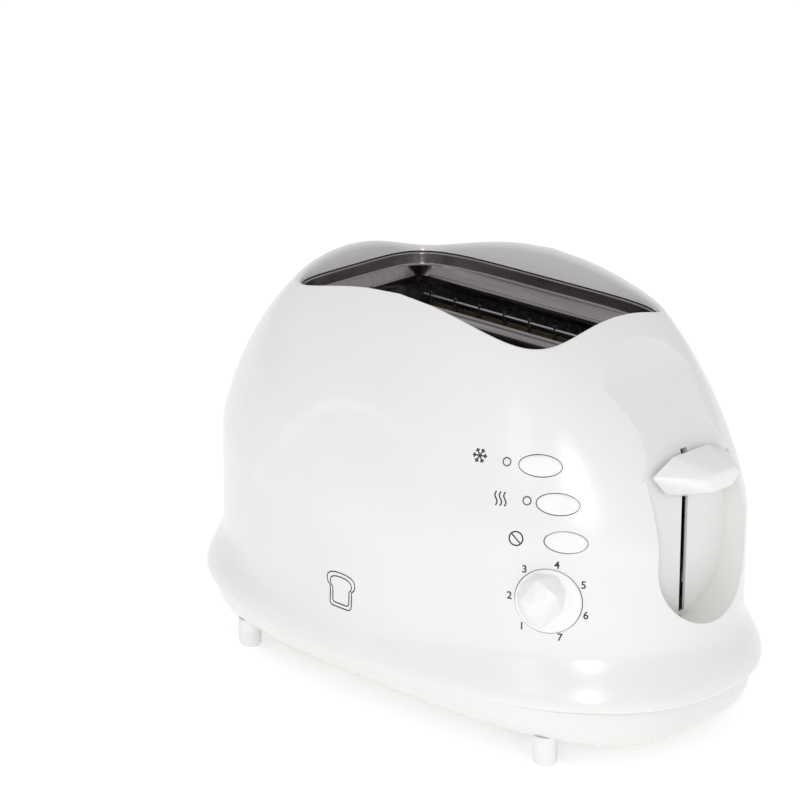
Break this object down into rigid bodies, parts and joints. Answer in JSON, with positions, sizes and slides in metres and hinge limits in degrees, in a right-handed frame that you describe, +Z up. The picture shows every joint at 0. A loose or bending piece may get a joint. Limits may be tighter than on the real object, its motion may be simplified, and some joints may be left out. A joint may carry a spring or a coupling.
{
  "type": "pop up toaster",
  "caption": "Oval pop-up toaster with a metal slotted top, a recessed end lever, a browning dial, push buttons and a crumb tray, on four short feet.",
  "frame": {"origin": "centre of the toaster's footprint, on the surface that it stands on", "axes": "+X towards the lever end along the length, -Y towards the controls, +Z up"},
  "size_m": [0.2642, 0.1588, 0.1724],
  "materials": {
    "white_body": "moulded, glossy, white",
    "white_base": "moulded, glossy, white",
    "white_controls": "moulded, satin gloss, white",
    "white_lever": "moulded, satin gloss, white",
    "white_trim": "moulded, matt, white",
    "polished_steel": "bright rolled stainless steel",
    "plated_steel": "zinc plated sheet",
    "reflector_sheet": "aluminised sheet",
    "mica_sheet": "pressed mica",
    "heater_ribbon": "oxidised resistance ribbon",
    "steel_wire": "drawn steel",
    "screw_steel": "zinc plated",
    "magnet_iron": "soft iron",
    "coil_copper": "enamelled copper winding",
    "switch_body": "heat proof moulding",
    "contact_brass": "brass strip",
    "board_laminate": "lacquered laminate",
    "black_parts": "moulded, black",
    "blue_pot": "moulded, blue",
    "lamp_lens": "clear grey lens"
  },
  "bodies": {
    "body": {"housing": "white_body", "base_pan": "white_base", "feet": "white_trim", "base_screws": "screw_steel", "top_plate": "polished_steel", "chassis_end_left": "plated_steel", "chassis_end_right": "plated_steel", "chassis_floor": "plated_steel", "chassis_screws": "screw_steel", "reflector_front": "reflector_sheet", "reflector_back": "reflector_sheet", "mica_front": "mica_sheet", "mica_center": "mica_sheet", "mica_back": "mica_sheet", "heater_wire_front": "heater_ribbon", "heater_wire_center": "heater_ribbon", "heater_wire_back": "heater_ribbon", "bread_guards_front": "steel_wire", "bread_guards_back": "steel_wire", "guide_rods": "steel_wire", "rod_bridge": "plated_steel", "magnet_core": "magnet_iron", "magnet_coil": "coil_copper", "contact_block": "switch_body", "contact_blades": "contact_brass", "circuit_board": "board_laminate", "board_standoffs": "white_trim", "board_screws": "screw_steel", "timer_pot": "blue_pot", "tact_switches": "black_parts", "led_lenses": "lamp_lens", "cord_bush": "white_trim", "carriage_spring": "steel_wire"},
    "carriage": {"lever_handle": "white_lever", "lever_arm": "steel_wire", "carriage_bracket": "plated_steel", "bread_rack_front": "steel_wire", "bread_rack_back": "steel_wire", "latch_plate": "magnet_iron"},
    "dial": {"dial_knob": "white_controls", "dial_shaft": "steel_wire"},
    "button_top": {"button_top": "white_controls"},
    "button_middle": {"button_middle": "white_controls"},
    "button_bottom": {"button_bottom": "white_controls"},
    "crumb_tray": {"crumb_tray": "plated_steel"}
  },
  "joints": [
    {"name": "lever_slide", "type": "slide", "parent": "body", "child": "carriage", "axis": [0, 0, -1], "range_m": [0, 0.044], "stiffness_N_per_m": 60, "springref_m": -0.04, "deforming": ["carriage_spring"]},
    {"name": "dial_turn", "type": "hinge", "parent": "body", "child": "dial", "pos_m": [0.0896, -0.0552, 0.0714], "axis": [0.509, -0.8607, 0], "range_deg": [-182, 118]},
    {"name": "button_top_press", "type": "slide", "parent": "body", "child": "button_top", "axis": [-0.4825, 0.8158, -0.319], "range_m": [0, 0.0016], "stiffness_N_per_m": 400, "springref_m": -0.001},
    {"name": "button_middle_press", "type": "slide", "parent": "body", "child": "button_middle", "axis": [-0.4912, 0.8306, -0.2622], "range_m": [0, 0.0016], "stiffness_N_per_m": 400, "springref_m": -0.001},
    {"name": "button_bottom_press", "type": "slide", "parent": "body", "child": "button_bottom", "axis": [-0.5041, 0.8524, -0.1392], "range_m": [0, 0.0016], "stiffness_N_per_m": 400, "springref_m": -0.001},
    {"name": "crumb_tray_slide", "type": "slide", "parent": "body", "child": "crumb_tray", "axis": [0, 1, 0], "range_m": [0, 0.115]}
  ]
}
